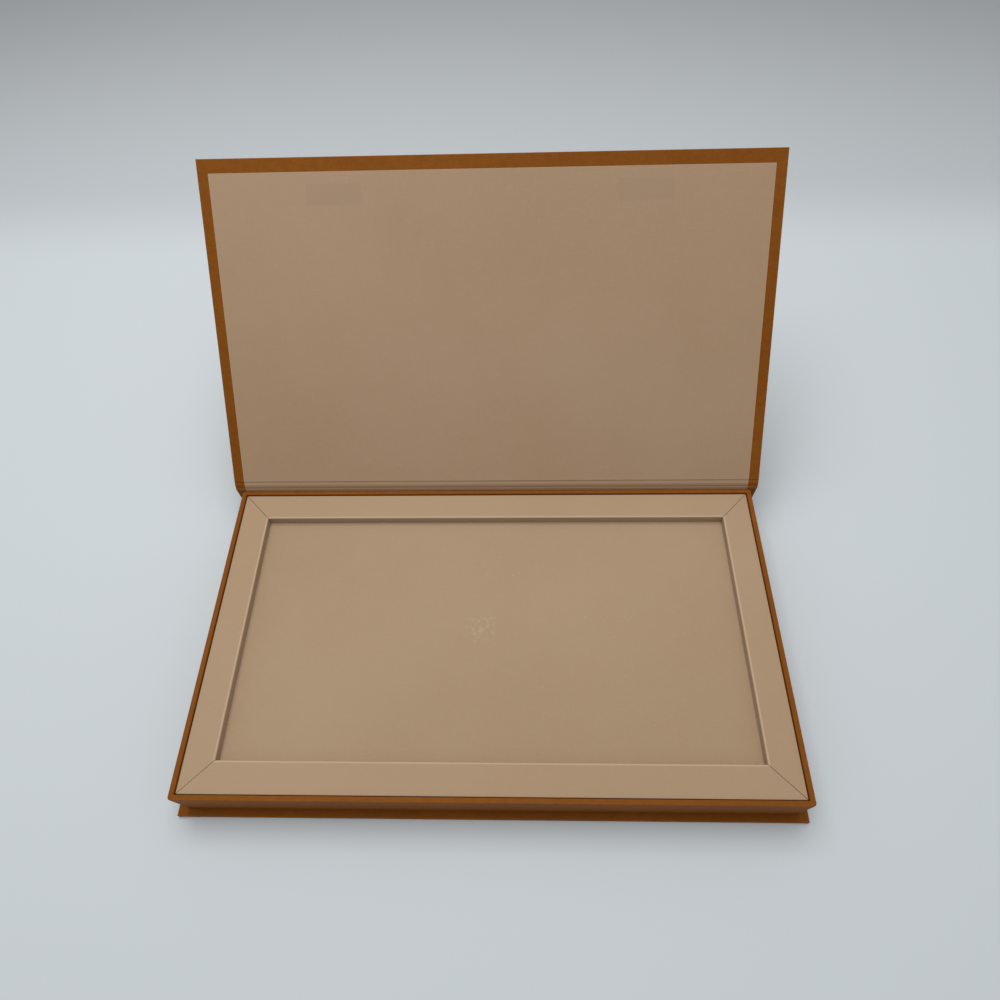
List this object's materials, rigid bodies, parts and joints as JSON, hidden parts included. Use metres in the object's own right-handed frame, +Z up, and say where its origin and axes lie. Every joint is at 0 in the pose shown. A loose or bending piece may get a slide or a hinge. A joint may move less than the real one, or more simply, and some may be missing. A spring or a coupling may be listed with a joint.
{
  "type": "clamshell book box",
  "caption": "Flat clamshell box shaped like a book: hinged lid, spine, shallow tray with a mitred insert frame and a recessed panel, magnetic closure.",
  "frame": {"origin": "centre of the closed case's footprint, on the underside of its base", "axes": "+X along the hinge to the right, +Y from the front edge to the spine, +Z up; the lid is stored open, as in the picture"},
  "size_m": [0.328, 0.3164, 0.1717],
  "materials": {
    "cover_paper": "matte, fine canvas-like texture",
    "lining_paper": "matte, smooth",
    "greyboard": "matte",
    "filler_card": "matte",
    "rail_card": "matte",
    "riser_card": "matte",
    "plated_steel": "satin"
  },
  "bodies": {
    "case": {"base_board": "greyboard", "base_cover": "cover_paper", "spine_board": "greyboard", "spine_cover": "cover_paper", "spine_filler": "filler_card", "spine_liner": "lining_paper", "tray_bottom": "greyboard", "wall_front": "greyboard", "wall_back": "greyboard", "wall_left": "greyboard", "wall_right": "greyboard", "tray_wrap": "cover_paper", "riser_front": "riser_card", "riser_back": "riser_card", "riser_left": "riser_card", "riser_right": "riser_card", "riser_middle": "riser_card", "panel_board": "greyboard", "panel_paper": "lining_paper", "rail_front": "rail_card", "rail_back": "rail_card", "rail_left": "rail_card", "rail_right": "rail_card", "rail_paper_front": "lining_paper", "rail_paper_back": "lining_paper", "rail_paper_left": "lining_paper", "rail_paper_right": "lining_paper", "keeper_left": "plated_steel", "keeper_right": "plated_steel", "hinge_cover": "cover_paper", "hinge_liner": "lining_paper"},
    "lid": {"lid_board": "greyboard", "lid_cover": "cover_paper", "lid_filler": "filler_card", "lid_liner": "lining_paper", "magnet_left": "plated_steel", "magnet_right": "plated_steel"}
  },
  "joints": [
    {"name": "lid_hinge", "type": "hinge", "parent": "case", "child": "lid", "pos_m": [0, 0.09475, 0.02934], "axis": [1, 0, 0], "range_deg": [0, 132], "deforming": ["hinge_cover", "hinge_liner"]}
  ]
}
